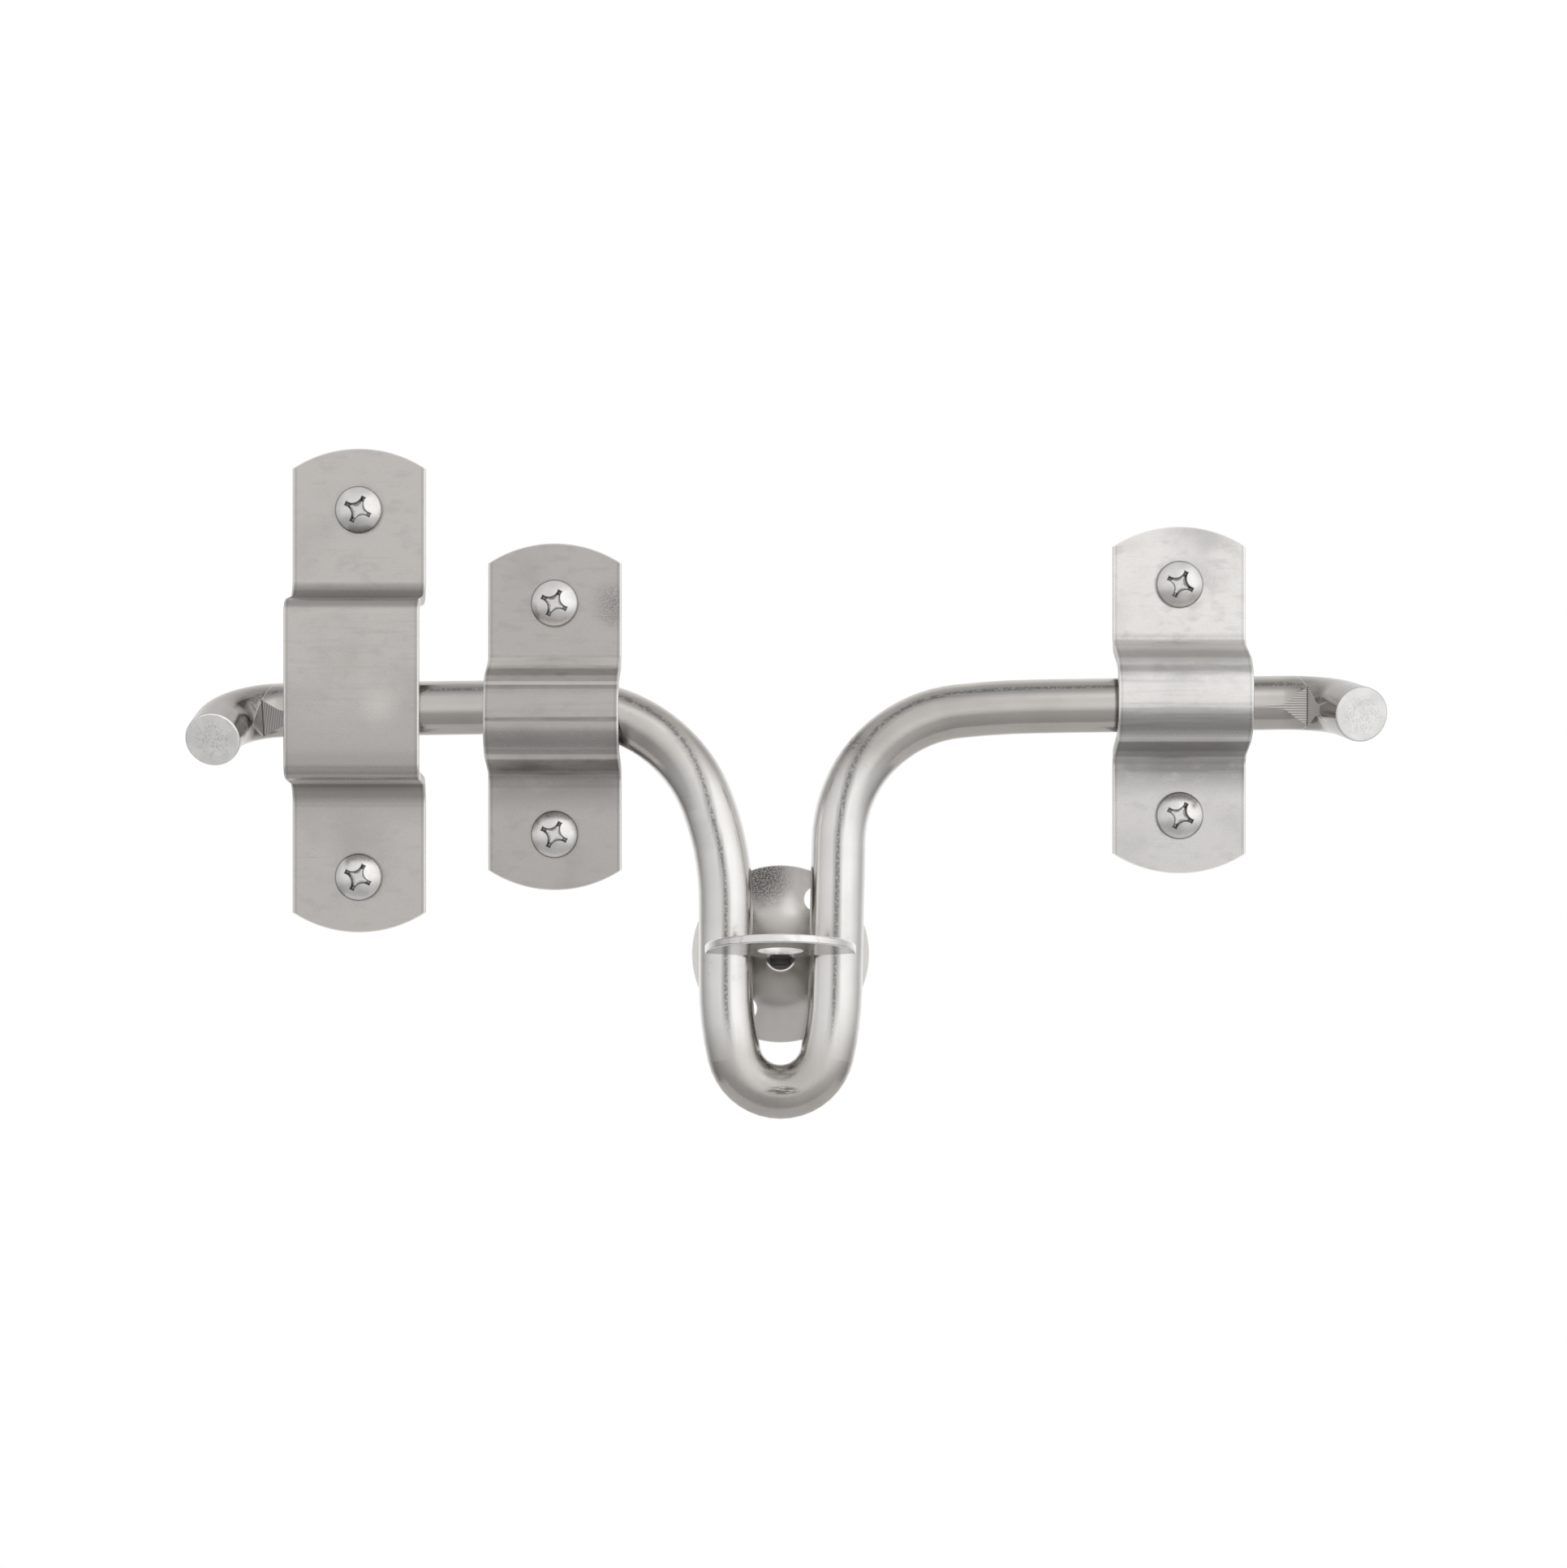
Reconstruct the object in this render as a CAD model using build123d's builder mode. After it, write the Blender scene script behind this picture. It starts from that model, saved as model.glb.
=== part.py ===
from build123d import *
import os
from math import cos, sin, tan, radians

os.makedirs("parts", exist_ok=True)

# Slide-bolt gate latch with a swivel padlock staple, bolt shot and locked.
# The gate face is the plane Y = 0, +X runs along the bolt, +Y goes into the gate, +Z is up.
# The origin is the centre of the staple's plate on the gate face. Sizes are millimetres and degrees.
# "Depth" is the distance in front of the gate face, so depth d lies at Y = -d.

# Sheet and rod stock
strap_width = 31.5
strap_t = 2.0
staple_t = 1.7
eye_t = 2.0
rod_d = 12.7

# Running clearances
plate_gap = 0.95        # staple plate to the loop legs in front of it
front_gap = 0.6         # rod to the inside of the strap humps
screw_gap = 0.35        # screw thread to its strap hole, on the radius
spigot_gap = 0.1        # eye spigot to its slot in the washer, each side

# Bolt rod: long straight run with a hanging loop in the middle
rod_axis_z = 58.4
loop_side_r = 71.3
loop_side_turn = 13.6
loop_bottom_r = 11.16
loop_bottom_z = -32.0
left_shoulder_r = 35.3
left_shoulder_turn = 69.7
left_drop_r = 67.0
left_run_slope = 0.75   # the run climbs slightly from left to right
left_bend_x = -115.9
right_leg_lean = 1.3
right_shoulder_r = 31.3
right_ease_r = 201.5
right_ease_turn = 6.2   # slope of the rod where the shoulder eases into the run
right_run_slope = 0.85
right_bend_x = 117.2

# Bolt rod: ends turned out towards the user, with a notch pressed across the inside of each bend
end_bend_r = 14.0
end_reach = 20.3        # rod axis to the cut face, square to the run
end_chamfer = 0.35
left_end_lean = 4.0     # short of a square bend
left_end_droop = 20.2   # bend plane turned down from level
left_notch_offset = 4.8 # start of the bend to the notch valley
left_notch_depth = 0.5
left_notch_run = 2.5    # slope of the long facet on the run
left_notch_root = 68.0  # slope of the short facet at the root of the bend
right_end_lean = 14.0
right_end_droop = 9.5
right_notch_offset = 5.5
right_notch_depth = 0.12
right_notch_run = 1.0
right_notch_root = 71.0
notch_run_length = 10.0
notch_root_length = 6.5

# Straps
strap_end_r = 28.4
strap_edge_r = 0.35
guide_length = 82.0
guide_screw_span = 54.6
guide_slot = 13.8       # inside height at the front of the hump
guide_wall_lean = 18.0
guide_hump_r = 7.0
guide_foot_r = 4.5
left_guide_x = -53.4
left_guide_drop = 2.3   # strap centre below the rod axis
left_guide_screw_drop = 0.5
right_guide_x = 94.3
right_guide_rise = 1.65 # strap centre above the rod axis
right_guide_screw_drop = 0.0
keeper_length = 114.4
keeper_screw_span = 86.8
keeper_screw_drop = 0.7 # middle of the screw pair below the middle of the strap
keeper_slot = 38.0
keeper_wall_lean = 6.0
keeper_hump_r = 1.6
keeper_foot_r = 6.5
keeper_inset = 16.2     # start of the left bend to the middle of the strap
keeper_rise = 3.9

# Pan head wood screws
screw_d = 5.5
screw_neck_d = 4.4      # plain neck where the screw passes the strap
screw_length = 31.75
screw_tip = 9.0
head_d = 11.2
head_rim = 1.3
head_crown = 2.3
head_edge_r = 0.5
recess_turn = -26.3
recess_depth = 2.6
recess_tip_r = 3.7
recess_tip_half = 0.5
recess_waist_r = 1.65
recess_floor_scale = 0.55
recess_cap = 0.2        # recess outline starts this far above the crown

# Staple: round plate drawn up into a flared collar
plate_d = 41.9
collar_hole_d = 6.4
collar_height = 11.5
lip_t = 0.55            # wall drawn thin at the mouth
collar_edge_r = 0.2
staple_hole_d = 5.8
staple_hole_circle = 31.0
staple_hole_count = 4
staple_hole_turn = 56.7

# Swivel eye: half-moon plate on a flat shank held through the collar
eye_tilt = 11.0
eye_pivot_depth = 8.0
eye_pivot_z = -0.5
eye_r = 17.5
eye_wide_v = 13.0       # pivot to the widest line, along the shank
eye_back_half = 7.2
eye_back_v = 10.0
eye_root_half = 4.7
eye_root_v = 5.0
shank_width = 4.8
padlock_hole_d = 10.8
padlock_hole_v = 17.0
eye_edge_r = 0.45
eye_back_r = 2.0
eye_root_r = 0.8
shank_root_r = 0.5
shoulder_r = 0.4
washer_d = 8.8
washer_t = 1.0
washer_v = -5.6         # shank shoulder on the washer, measured from the pivot
spigot_width = 3.4
peen_width = 4.6
peen_t = 3.2
peen_height = 0.5

# Sizes that follow from the ones above
rod_r = rod_d / 2
rod_depth = staple_t + plate_gap + rod_r
hump_depth = rod_depth + rod_r + front_gap
screw_r = screw_d / 2
strap_hole_r = screw_r + screw_gap
head_r = head_d / 2
side_turn = radians(loop_side_turn)
drop_turn = radians(left_shoulder_turn)
left_slope = radians(left_run_slope)
right_slope = radians(right_run_slope)
ease_turn = radians(right_ease_turn)
leg_x = loop_side_r * (1 - cos(side_turn)) + loop_bottom_r * cos(side_turn)
leg_foot_z = loop_bottom_z + loop_side_r * sin(side_turn) + loop_bottom_r * (1 - sin(side_turn))
left_drop_x = -leg_x - left_drop_r * (1 - sin(drop_turn))
left_shoulder_x = left_drop_x - left_shoulder_r * (sin(drop_turn) + sin(left_slope))
left_bend_z = rod_axis_z - (left_shoulder_x - left_bend_x) * tan(left_slope)
shoulder_rise = right_shoulder_r * (cos(ease_turn) - sin(radians(right_leg_lean)))
right_leg_top_z = rod_axis_z - shoulder_rise - right_ease_r * (cos(right_slope) - cos(ease_turn))
diagonal = cos(radians(45))

# Section plane through the origin: local x is the radius, local y the depth
section = Plane(origin=(0, 0, 0), x_dir=(1, 0, 0), z_dir=(0, 0, -1))


def bent_strap(centre_x, centre_z, length, screw_span, screw_drop, slot, wall_lean, hump_r, foot_r):
    """A strap bent to a hat section round the rod, its ends cut to an arc and drilled for screws."""
    side = Plane(origin=(centre_x, 0, centre_z), x_dir=(0, 0, 1), z_dir=(1, 0, 0))
    face = Plane(origin=(centre_x, 0, centre_z), x_dir=(1, 0, 0), z_dir=(0, -1, 0))
    half_slot = slot / 2
    half_foot = half_slot + hump_depth * tan(radians(wall_lean))
    end = length / 2
    corner = end - strap_end_r + (strap_end_r**2 - (strap_width / 2) ** 2) ** 0.5
    with BuildPart() as strap:
        # Hat section, drawn along the face that lies on the gate and thickened outwards
        with BuildSketch(side):
            with BuildLine():
                FilletPolyline(
                    (-end, 0),
                    (-half_foot, 0),
                    (-half_slot, hump_depth),
                    (half_slot, hump_depth),
                    (half_foot, 0),
                    (end, 0),
                    radius=[foot_r, hump_r, hump_r, foot_r],
                )
                offset(amount=strap_t, side=Side.LEFT)
            make_face()
        extrude(amount=strap_width / 2, both=True)
        # Both ends trimmed to an arc
        with BuildSketch(face):
            with BuildLine():
                ThreePointArc((-strap_width / 2, corner), (0, end), (strap_width / 2, corner))
                Line((strap_width / 2, corner), (strap_width / 2, -corner))
                ThreePointArc((strap_width / 2, -corner), (0, -end), (-strap_width / 2, -corner))
                Line((-strap_width / 2, -corner), (-strap_width / 2, corner))
            make_face()
        extrude(amount=hump_depth + strap_t, mode=Mode.INTERSECT)
        # Deburred long edges
        fillet(strap.faces().filter_by(Axis.X).edges().filter_by(Axis.Y, reverse=True), strap_edge_r)
        # Screw holes
        with BuildSketch(face):
            with Locations((0, -screw_drop)):
                with GridLocations(0, screw_span, 1, 2):
                    Circle(strap_hole_r)
        extrude(amount=strap_t, mode=Mode.SUBTRACT)
    return strap.part


# Left strap: tall hump that lets the turned end of the bolt through
keeper_x = left_bend_x + keeper_inset
keeper_z = rod_axis_z + keeper_rise
keeper = bent_strap(
    keeper_x,
    keeper_z,
    keeper_length,
    keeper_screw_span,
    keeper_screw_drop,
    keeper_slot,
    keeper_wall_lean,
    keeper_hump_r,
    keeper_foot_r,
)
keeper.label = "keeper_strap"
export_step(keeper, "parts/keeper_strap.step")

# Guide straps left and right of the loop
left_guide_z = rod_axis_z - left_guide_drop
right_guide_z = rod_axis_z + right_guide_rise
left_guide = bent_strap(
    left_guide_x,
    left_guide_z,
    guide_length,
    guide_screw_span,
    left_guide_screw_drop,
    guide_slot,
    guide_wall_lean,
    guide_hump_r,
    guide_foot_r,
)
left_guide.label = "left_guide_strap"
export_step(left_guide, "parts/left_guide_strap.step")

right_guide = bent_strap(
    right_guide_x,
    right_guide_z,
    guide_length,
    guide_screw_span,
    right_guide_screw_drop,
    guide_slot,
    guide_wall_lean,
    guide_hump_r,
    guide_foot_r,
)
right_guide.label = "right_guide_strap"
export_step(right_guide, "parts/right_guide_strap.step")

# One pan head screw, seated on the front of a strap foot
with BuildPart() as screw:
    # Head, shank and point turned about the screw axis
    with BuildSketch(section):
        with BuildLine():
            head_top = strap_t + head_rim + head_crown
            crown_r = (head_r**2 + head_crown**2) / (2 * head_crown)
            RadiusArc((0, head_top), (head_r, strap_t + head_rim), crown_r)
            Polyline(
                (head_r, strap_t + head_rim),
                (head_r, strap_t),
                (screw_neck_d / 2, strap_t),
                (screw_neck_d / 2, 0),
                (screw_r, 0),
                (screw_r, strap_t - screw_length + screw_tip),
                (0, strap_t - screw_length),
                (0, head_top),
            )
        make_face()
    revolve(axis=Axis.Y)
    head_side = screw.faces().filter_by(GeomType.CYLINDER).sort_by(SortBy.RADIUS)[-1]
    fillet(head_side.edges().filter_by(GeomType.CIRCLE).sort_by(Axis.Y)[0], head_edge_r)
    # Cross recess tapering from the crown to its floor
    recess_dir = (cos(radians(recess_turn)), 0, sin(radians(recess_turn)))
    for outline_depth, scale_by in (
        (head_top + recess_cap, 1.0),
        (head_top - recess_depth, recess_floor_scale),
    ):
        recess_plane = Plane(origin=(0, -outline_depth, 0), x_dir=recess_dir, z_dir=(0, -1, 0))
        with BuildSketch(recess_plane):
            with BuildLine():
                tip = recess_tip_r * scale_by
                half = recess_tip_half * scale_by
                waist = recess_waist_r * scale_by * diagonal
                Line((tip, -half), (tip, half))
                ThreePointArc((tip, half), (waist, waist), (half, tip))
                Line((half, tip), (-half, tip))
                ThreePointArc((-half, tip), (-waist, waist), (-tip, half))
                Line((-tip, half), (-tip, -half))
                ThreePointArc((-tip, -half), (-waist, -waist), (-half, -tip))
                Line((-half, -tip), (half, -tip))
                ThreePointArc((half, -tip), (waist, -waist), (tip, -half))
            make_face()
    loft(mode=Mode.SUBTRACT)

# The screws of each strap, one solid for each screw
for name, screw_x, pair_z, span in (
    ("keeper_screws", keeper_x, keeper_z - keeper_screw_drop, keeper_screw_span),
    ("left_guide_screws", left_guide_x, left_guide_z - left_guide_screw_drop, guide_screw_span),
    ("right_guide_screws", right_guide_x, right_guide_z - right_guide_screw_drop, guide_screw_span),
):
    with BuildPart() as screws:
        with Locations((screw_x, 0, pair_z + span / 2), (screw_x, 0, pair_z - span / 2)):
            add(screw.part)
    screws.part.label = name
    export_step(screws.part, f"parts/{name}.step")

# Centre line of the bolt between the two turned ends
with BuildLine(Plane.XZ.offset(rod_depth)) as bolt_line:
    left_run = Line((left_bend_x, left_bend_z), (left_shoulder_x, rod_axis_z))
    left_shoulder = JernArc(left_run @ 1, left_run % 1, left_shoulder_r, -left_shoulder_turn - left_run_slope)
    left_drop = JernArc(left_shoulder @ 1, left_shoulder % 1, left_drop_r, left_shoulder_turn - 90)
    left_leg = Line(left_drop @ 1, (-leg_x, leg_foot_z))
    left_side = JernArc(left_leg @ 1, left_leg % 1, loop_side_r, loop_side_turn)
    loop_bottom = JernArc(left_side @ 1, left_side % 1, loop_bottom_r, 180 - 2 * loop_side_turn)
    right_side = JernArc(loop_bottom @ 1, loop_bottom % 1, loop_side_r, loop_side_turn - right_leg_lean)
    leg_rise = (right_leg_top_z - (right_side @ 1).Z) / cos(radians(right_leg_lean))
    right_leg = Line(right_side @ 1, right_side @ 1 + right_side % 1 * leg_rise)
    shoulder_turn = 90 - right_leg_lean - right_ease_turn
    right_shoulder = JernArc(right_leg @ 1, right_leg % 1, right_shoulder_r, -shoulder_turn)
    ease_back = right_run_slope - right_ease_turn
    right_ease = JernArc(right_shoulder @ 1, right_shoulder % 1, right_ease_r, ease_back)
    run_length = (right_bend_x - (right_ease @ 1).X) / cos(right_slope)
    right_run = Line(right_ease @ 1, right_ease @ 1 + right_ease % 1 * run_length)

# Bolt rod: the run and loop, then each turned end with its notch
with BuildPart() as bolt_rod:
    with BuildSketch(Plane(origin=left_run @ 0, z_dir=left_run % 0)):
        Circle(rod_r)
    sweep(path=bolt_line.line)
    for bend_at, outward, lean, droop, notch_offset, notch_depth, notch_run, notch_root in (
        (
            left_run @ 0,
            -(left_run % 0),
            left_end_lean,
            left_end_droop,
            left_notch_offset,
            left_notch_depth,
            left_notch_run,
            left_notch_root,
        ),
        (
            right_run @ 1,
            right_run % 1,
            right_end_lean,
            right_end_droop,
            right_notch_offset,
            right_notch_depth,
            right_notch_run,
            right_notch_root,
        ),
    ):
        # Bend plane: local x runs on along the rod, local y out towards the user
        to_user = Vector(0, -cos(radians(droop)), -sin(radians(droop)))
        bend_plane = Plane(origin=bend_at, x_dir=outward, z_dir=outward.cross(to_user))
        turn = radians(90 - lean)
        straight = (end_reach - end_bend_r * (1 - cos(turn))) / sin(turn)
        with BuildLine(bend_plane) as end_line:
            end_bend = JernArc((0, 0), (1, 0), end_bend_r, 90 - lean)
            Line(end_bend @ 1, end_bend @ 1 + end_bend % 1 * straight)
        with BuildSketch(Plane(origin=bend_at, z_dir=outward)):
            Circle(rod_r)
        sweep(path=end_line.line)
        # Notch: a long flat facet along the run meets a short steep one at the root
        run_angle = radians(notch_run)
        root_angle = radians(notch_root)
        valley_y = rod_r - notch_depth
        with BuildSketch(bend_plane):
            with BuildLine():
                Polyline(
                    (notch_offset, valley_y),
                    (
                        notch_offset - notch_run_length * cos(run_angle),
                        valley_y + notch_run_length * sin(run_angle),
                    ),
                    (
                        notch_offset + notch_root_length * cos(root_angle),
                        valley_y + notch_root_length * sin(root_angle),
                    ),
                    close=True,
                )
            make_face()
        extrude(amount=rod_d, both=True, mode=Mode.SUBTRACT)
    # Slightly broken edges on the two cut faces
    cut_faces = bolt_rod.faces().filter_by(GeomType.PLANE).sort_by(Axis.Y)[:2]
    chamfer(cut_faces.edges(), length=end_chamfer)
bolt_rod.part.label = "bolt_rod"
export_step(bolt_rod.part, "parts/bolt_rod.step")

# Staple plate, flare and collar turned in one, then drilled for its screws
collar_r = collar_hole_d / 2
lip_r = collar_r + lip_t
flare_r = collar_height - staple_t
flare_x = lip_r + flare_r
back_x = collar_r + collar_height
with BuildPart() as staple_base:
    with BuildSketch(section):
        with BuildLine():
            ThreePointArc(
                (back_x, 0),
                (back_x - collar_height * diagonal, collar_height * (1 - diagonal)),
                (collar_r, collar_height),
            )
            Line((collar_r, collar_height), (lip_r, collar_height))
            ThreePointArc(
                (lip_r, collar_height),
                (flare_x - flare_r * diagonal, collar_height - flare_r * diagonal),
                (flare_x, staple_t),
            )
            Polyline(
                (flare_x, staple_t),
                (plate_d / 2, staple_t),
                (plate_d / 2, 0),
                (back_x, 0),
            )
        make_face()
    revolve(axis=Axis.Y)
    fillet(staple_base.edges().filter_by(GeomType.CIRCLE).group_by(Axis.Y)[0], collar_edge_r)
    with BuildSketch(Plane.XZ):
        with PolarLocations(staple_hole_circle / 2, staple_hole_count, staple_hole_turn):
            Circle(staple_hole_d / 2)
    extrude(amount=collar_height, mode=Mode.SUBTRACT)
staple_base.part.label = "staple_base"
export_step(staple_base.part, "parts/staple_base.step")

# Swivel eye, lying level across the loop legs: local y runs out along its shank
tilt_cos = cos(radians(eye_tilt))
tilt_sin = sin(radians(eye_tilt))
shank_dir = Vector(0, -tilt_cos, tilt_sin)
pivot = Vector(0, -eye_pivot_depth, eye_pivot_z)
eye_plane = Plane(origin=pivot, x_dir=(1, 0, 0), z_dir=(0, -tilt_sin, -tilt_cos))
shank_half = shank_width / 2
spigot_half = spigot_width / 2
spigot_end = washer_v - washer_t
back_radii = [eye_back_r, eye_root_r, shank_root_r, shoulder_r]
with BuildPart() as swivel_eye:
    # Half-moon, shank and spigot cut from one plate, with the padlock hole
    with BuildSketch(eye_plane):
        with BuildLine():
            ThreePointArc((-eye_r, eye_wide_v), (0, eye_wide_v + eye_r), (eye_r, eye_wide_v))
            FilletPolyline(
                (eye_r, eye_wide_v),
                (eye_back_half, eye_back_v),
                (eye_root_half, eye_root_v),
                (shank_half, eye_root_v),
                (shank_half, washer_v),
                (spigot_half, washer_v),
                (spigot_half, spigot_end),
                (-spigot_half, spigot_end),
                (-spigot_half, washer_v),
                (-shank_half, washer_v),
                (-shank_half, eye_root_v),
                (-eye_root_half, eye_root_v),
                (-eye_back_half, eye_back_v),
                (-eye_r, eye_wide_v),
                radius=back_radii + [0, 0, 0, 0] + back_radii[::-1],
            )
        make_face()
        with Locations((0, padlock_hole_v)):
            Circle(padlock_hole_d / 2, mode=Mode.SUBTRACT)
    extrude(amount=eye_t / 2, both=True)
    # Polished edges round the half-moon
    round_edges = swivel_eye.edges().filter_by(GeomType.CIRCLE)
    fillet(round_edges.filter_by(lambda edge: edge.radius > padlock_hole_d), eye_edge_r)
    # Spigot end peened over against the washer
    with BuildSketch(Plane(origin=pivot + shank_dir * spigot_end, x_dir=(1, 0, 0), z_dir=-shank_dir)):
        Rectangle(peen_width, peen_t)
    extrude(amount=peen_height)
swivel_eye.part.label = "swivel_eye"
export_step(swivel_eye.part, "parts/swivel_eye.step")

# Washer on the spigot, too wide to come out through the collar
with BuildPart() as eye_washer:
    with BuildSketch(Plane(origin=pivot + shank_dir * washer_v, x_dir=(1, 0, 0), z_dir=-shank_dir)):
        Circle(washer_d / 2)
        Rectangle(spigot_width + 2 * spigot_gap, eye_t + 2 * spigot_gap, mode=Mode.SUBTRACT)
    extrude(amount=washer_t)
eye_washer.part.label = "eye_washer"
export_step(eye_washer.part, "parts/eye_washer.step")
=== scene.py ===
import math

import bpy
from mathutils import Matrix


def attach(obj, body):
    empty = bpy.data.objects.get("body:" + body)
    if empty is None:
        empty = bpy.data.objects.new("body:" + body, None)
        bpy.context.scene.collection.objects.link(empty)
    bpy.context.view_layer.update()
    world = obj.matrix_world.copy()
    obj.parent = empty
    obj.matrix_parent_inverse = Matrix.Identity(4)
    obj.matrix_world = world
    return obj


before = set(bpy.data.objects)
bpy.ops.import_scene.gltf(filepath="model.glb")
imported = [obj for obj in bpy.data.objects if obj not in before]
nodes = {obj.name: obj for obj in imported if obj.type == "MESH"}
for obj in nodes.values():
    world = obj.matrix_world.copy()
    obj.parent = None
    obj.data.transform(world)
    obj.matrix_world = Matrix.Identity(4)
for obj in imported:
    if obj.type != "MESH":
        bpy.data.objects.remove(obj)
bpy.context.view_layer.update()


# Straps: three bent strips of satin stainless steel, each held by two screws through its feet.
# The finish is a fine tumbled grain with faint long scratches and small darker smudges,
# and the edges, broken after cutting, carry a painted highlight.
def put(tree, kind, settings, inputs):
    made = tree.nodes.new(kind)
    for name, value in settings.items():
        setattr(made, name, value)
    for name, value in inputs.items():
        if isinstance(value, bpy.types.NodeSocket):
            tree.links.new(value, made.inputs[name])
        else:
            made.inputs[name].default_value = value
    return made


def math_node(tree, operation, first, second=0.0):
    return put(tree, "ShaderNodeMath", {"operation": operation}, {0: first, 1: second}).outputs[0]


def plus(tree, first, second):
    return math_node(tree, "ADD", first, second)


def times(tree, first, second):
    return math_node(tree, "MULTIPLY", first, second)


def away_from(tree, value, centre):
    return math_node(tree, "ABSOLUTE", math_node(tree, "SUBTRACT", value, centre))


def vector_node(tree, operation, first, second=(0.0, 0.0, 0.0)):
    made = put(tree, "ShaderNodeVectorMath", {"operation": operation}, {0: first, 1: second})
    gives_number = operation in ("DOT_PRODUCT", "DISTANCE", "LENGTH")
    return made.outputs["Value" if gives_number else "Vector"]


def axes(tree, vector):
    split = put(tree, "ShaderNodeSeparateXYZ", {}, {"Vector": vector})
    return split.outputs["X"], split.outputs["Y"], split.outputs["Z"]


def ramp(tree, value, low, high, to_low=0.0, to_high=1.0):
    inputs = {"Value": value, "From Min": low, "From Max": high, "To Min": to_low, "To Max": to_high}
    return put(tree, "ShaderNodeMapRange", {"interpolation_type": "SMOOTHSTEP"}, inputs).outputs[0]


def mapped(tree, place, stretch=(1.0, 1.0, 1.0), turn=(0.0, 0.0, 0.0)):
    inputs = {"Vector": place, "Rotation": turn, "Scale": stretch}
    return put(tree, "ShaderNodeMapping", {}, inputs).outputs[0]


def noise(tree, place, scale, detail, stretch=(1.0, 1.0, 1.0), turn=(0.0, 0.0, 0.0)):
    inputs = {"Vector": mapped(tree, place, stretch, turn), "Scale": scale, "Detail": detail}
    return put(tree, "ShaderNodeTexNoise", {}, inputs).outputs["Fac"]


def blend(tree, factor, first, second):
    inputs = {0: factor, 6: first, 7: second}
    return put(tree, "ShaderNodeMix", {"data_type": "RGBA"}, inputs).outputs[2]


def new_look(name):
    look = bpy.data.materials.new(name)
    look.use_nodes = True
    tree = look.node_tree
    tree.nodes.clear()
    place = put(tree, "ShaderNodeTexCoord", {}, {}).outputs["Object"]
    return look, tree, place


def surface_normal(tree):
    return put(tree, "ShaderNodeNewGeometry", {}, {}).outputs["Normal"]


def edge_mask(tree, radius):
    rounded = put(tree, "ShaderNodeBevel", {"samples": 6}, {"Radius": radius}).outputs[0]
    return ramp(tree, vector_node(tree, "DOT_PRODUCT", rounded, surface_normal(tree)), 0.995, 0.9)


def near_point(tree, place, point, full_within, none_beyond):
    return ramp(tree, vector_node(tree, "DISTANCE", place, point), none_beyond, full_within)


def bump(tree, height, distance, strength, under=None):
    inputs = {"Height": height, "Distance": distance, "Strength": strength}
    if under is not None:
        inputs["Normal"] = under
    return put(tree, "ShaderNodeBump", {}, inputs).outputs[0]


def metal(tree, colour, rough, normal):
    inputs = {"Base Color": colour, "Metallic": 1.0, "Roughness": rough, "Normal": normal}
    shader = put(tree, "ShaderNodeBsdfPrincipled", {}, inputs)
    put(tree, "ShaderNodeOutputMaterial", {}, {"Surface": shader.outputs[0]})


def dress(piece, look):
    nodes[piece].data.materials.clear()
    nodes[piece].data.materials.append(look)


def warm_grey(tone, warmth):
    return [tone, tone * (1.0 - warmth / 2), tone * (1.0 - warmth), 1.0]


keeper_x = -0.0997
left_guide_x = -0.0534
right_guide_x = 0.0943
foot_front_y = -0.0021
wall_front_y = -0.0035
hump_side_y = -0.0125
hump_front_y = -0.0155
edge_bevel = 0.0006
edge_shade_line_at = 0.0149
edge_from = 0.0152
edge_to = 0.0155
fade_below = 0.035
fade_above = 0.03
hump_shade_above = 0.004
hump_shade_below = 0.019
shade_end = 0.0095
shade_full = 0.0015
shade_over_bend = 0.0025
dark_line_below = 0.0003
dark_line_wave = 0.001
hump_patch_right = 0.0062
hump_patch_below = 0.0039
hump_patch_y = -0.0165
stain_right = 0.0145
stain_above = 0.0265
stain_y = -0.003
smudge_share = 0.84
shade_band_tone = 0.03
highlight_band_tone = 0.95
patch_tone = 0.9
soot_and_shade = [0.03, 0.029, 0.028, 1.0]
painted_edge_highlight = [0.9, 0.89, 0.87, 1.0]


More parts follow.
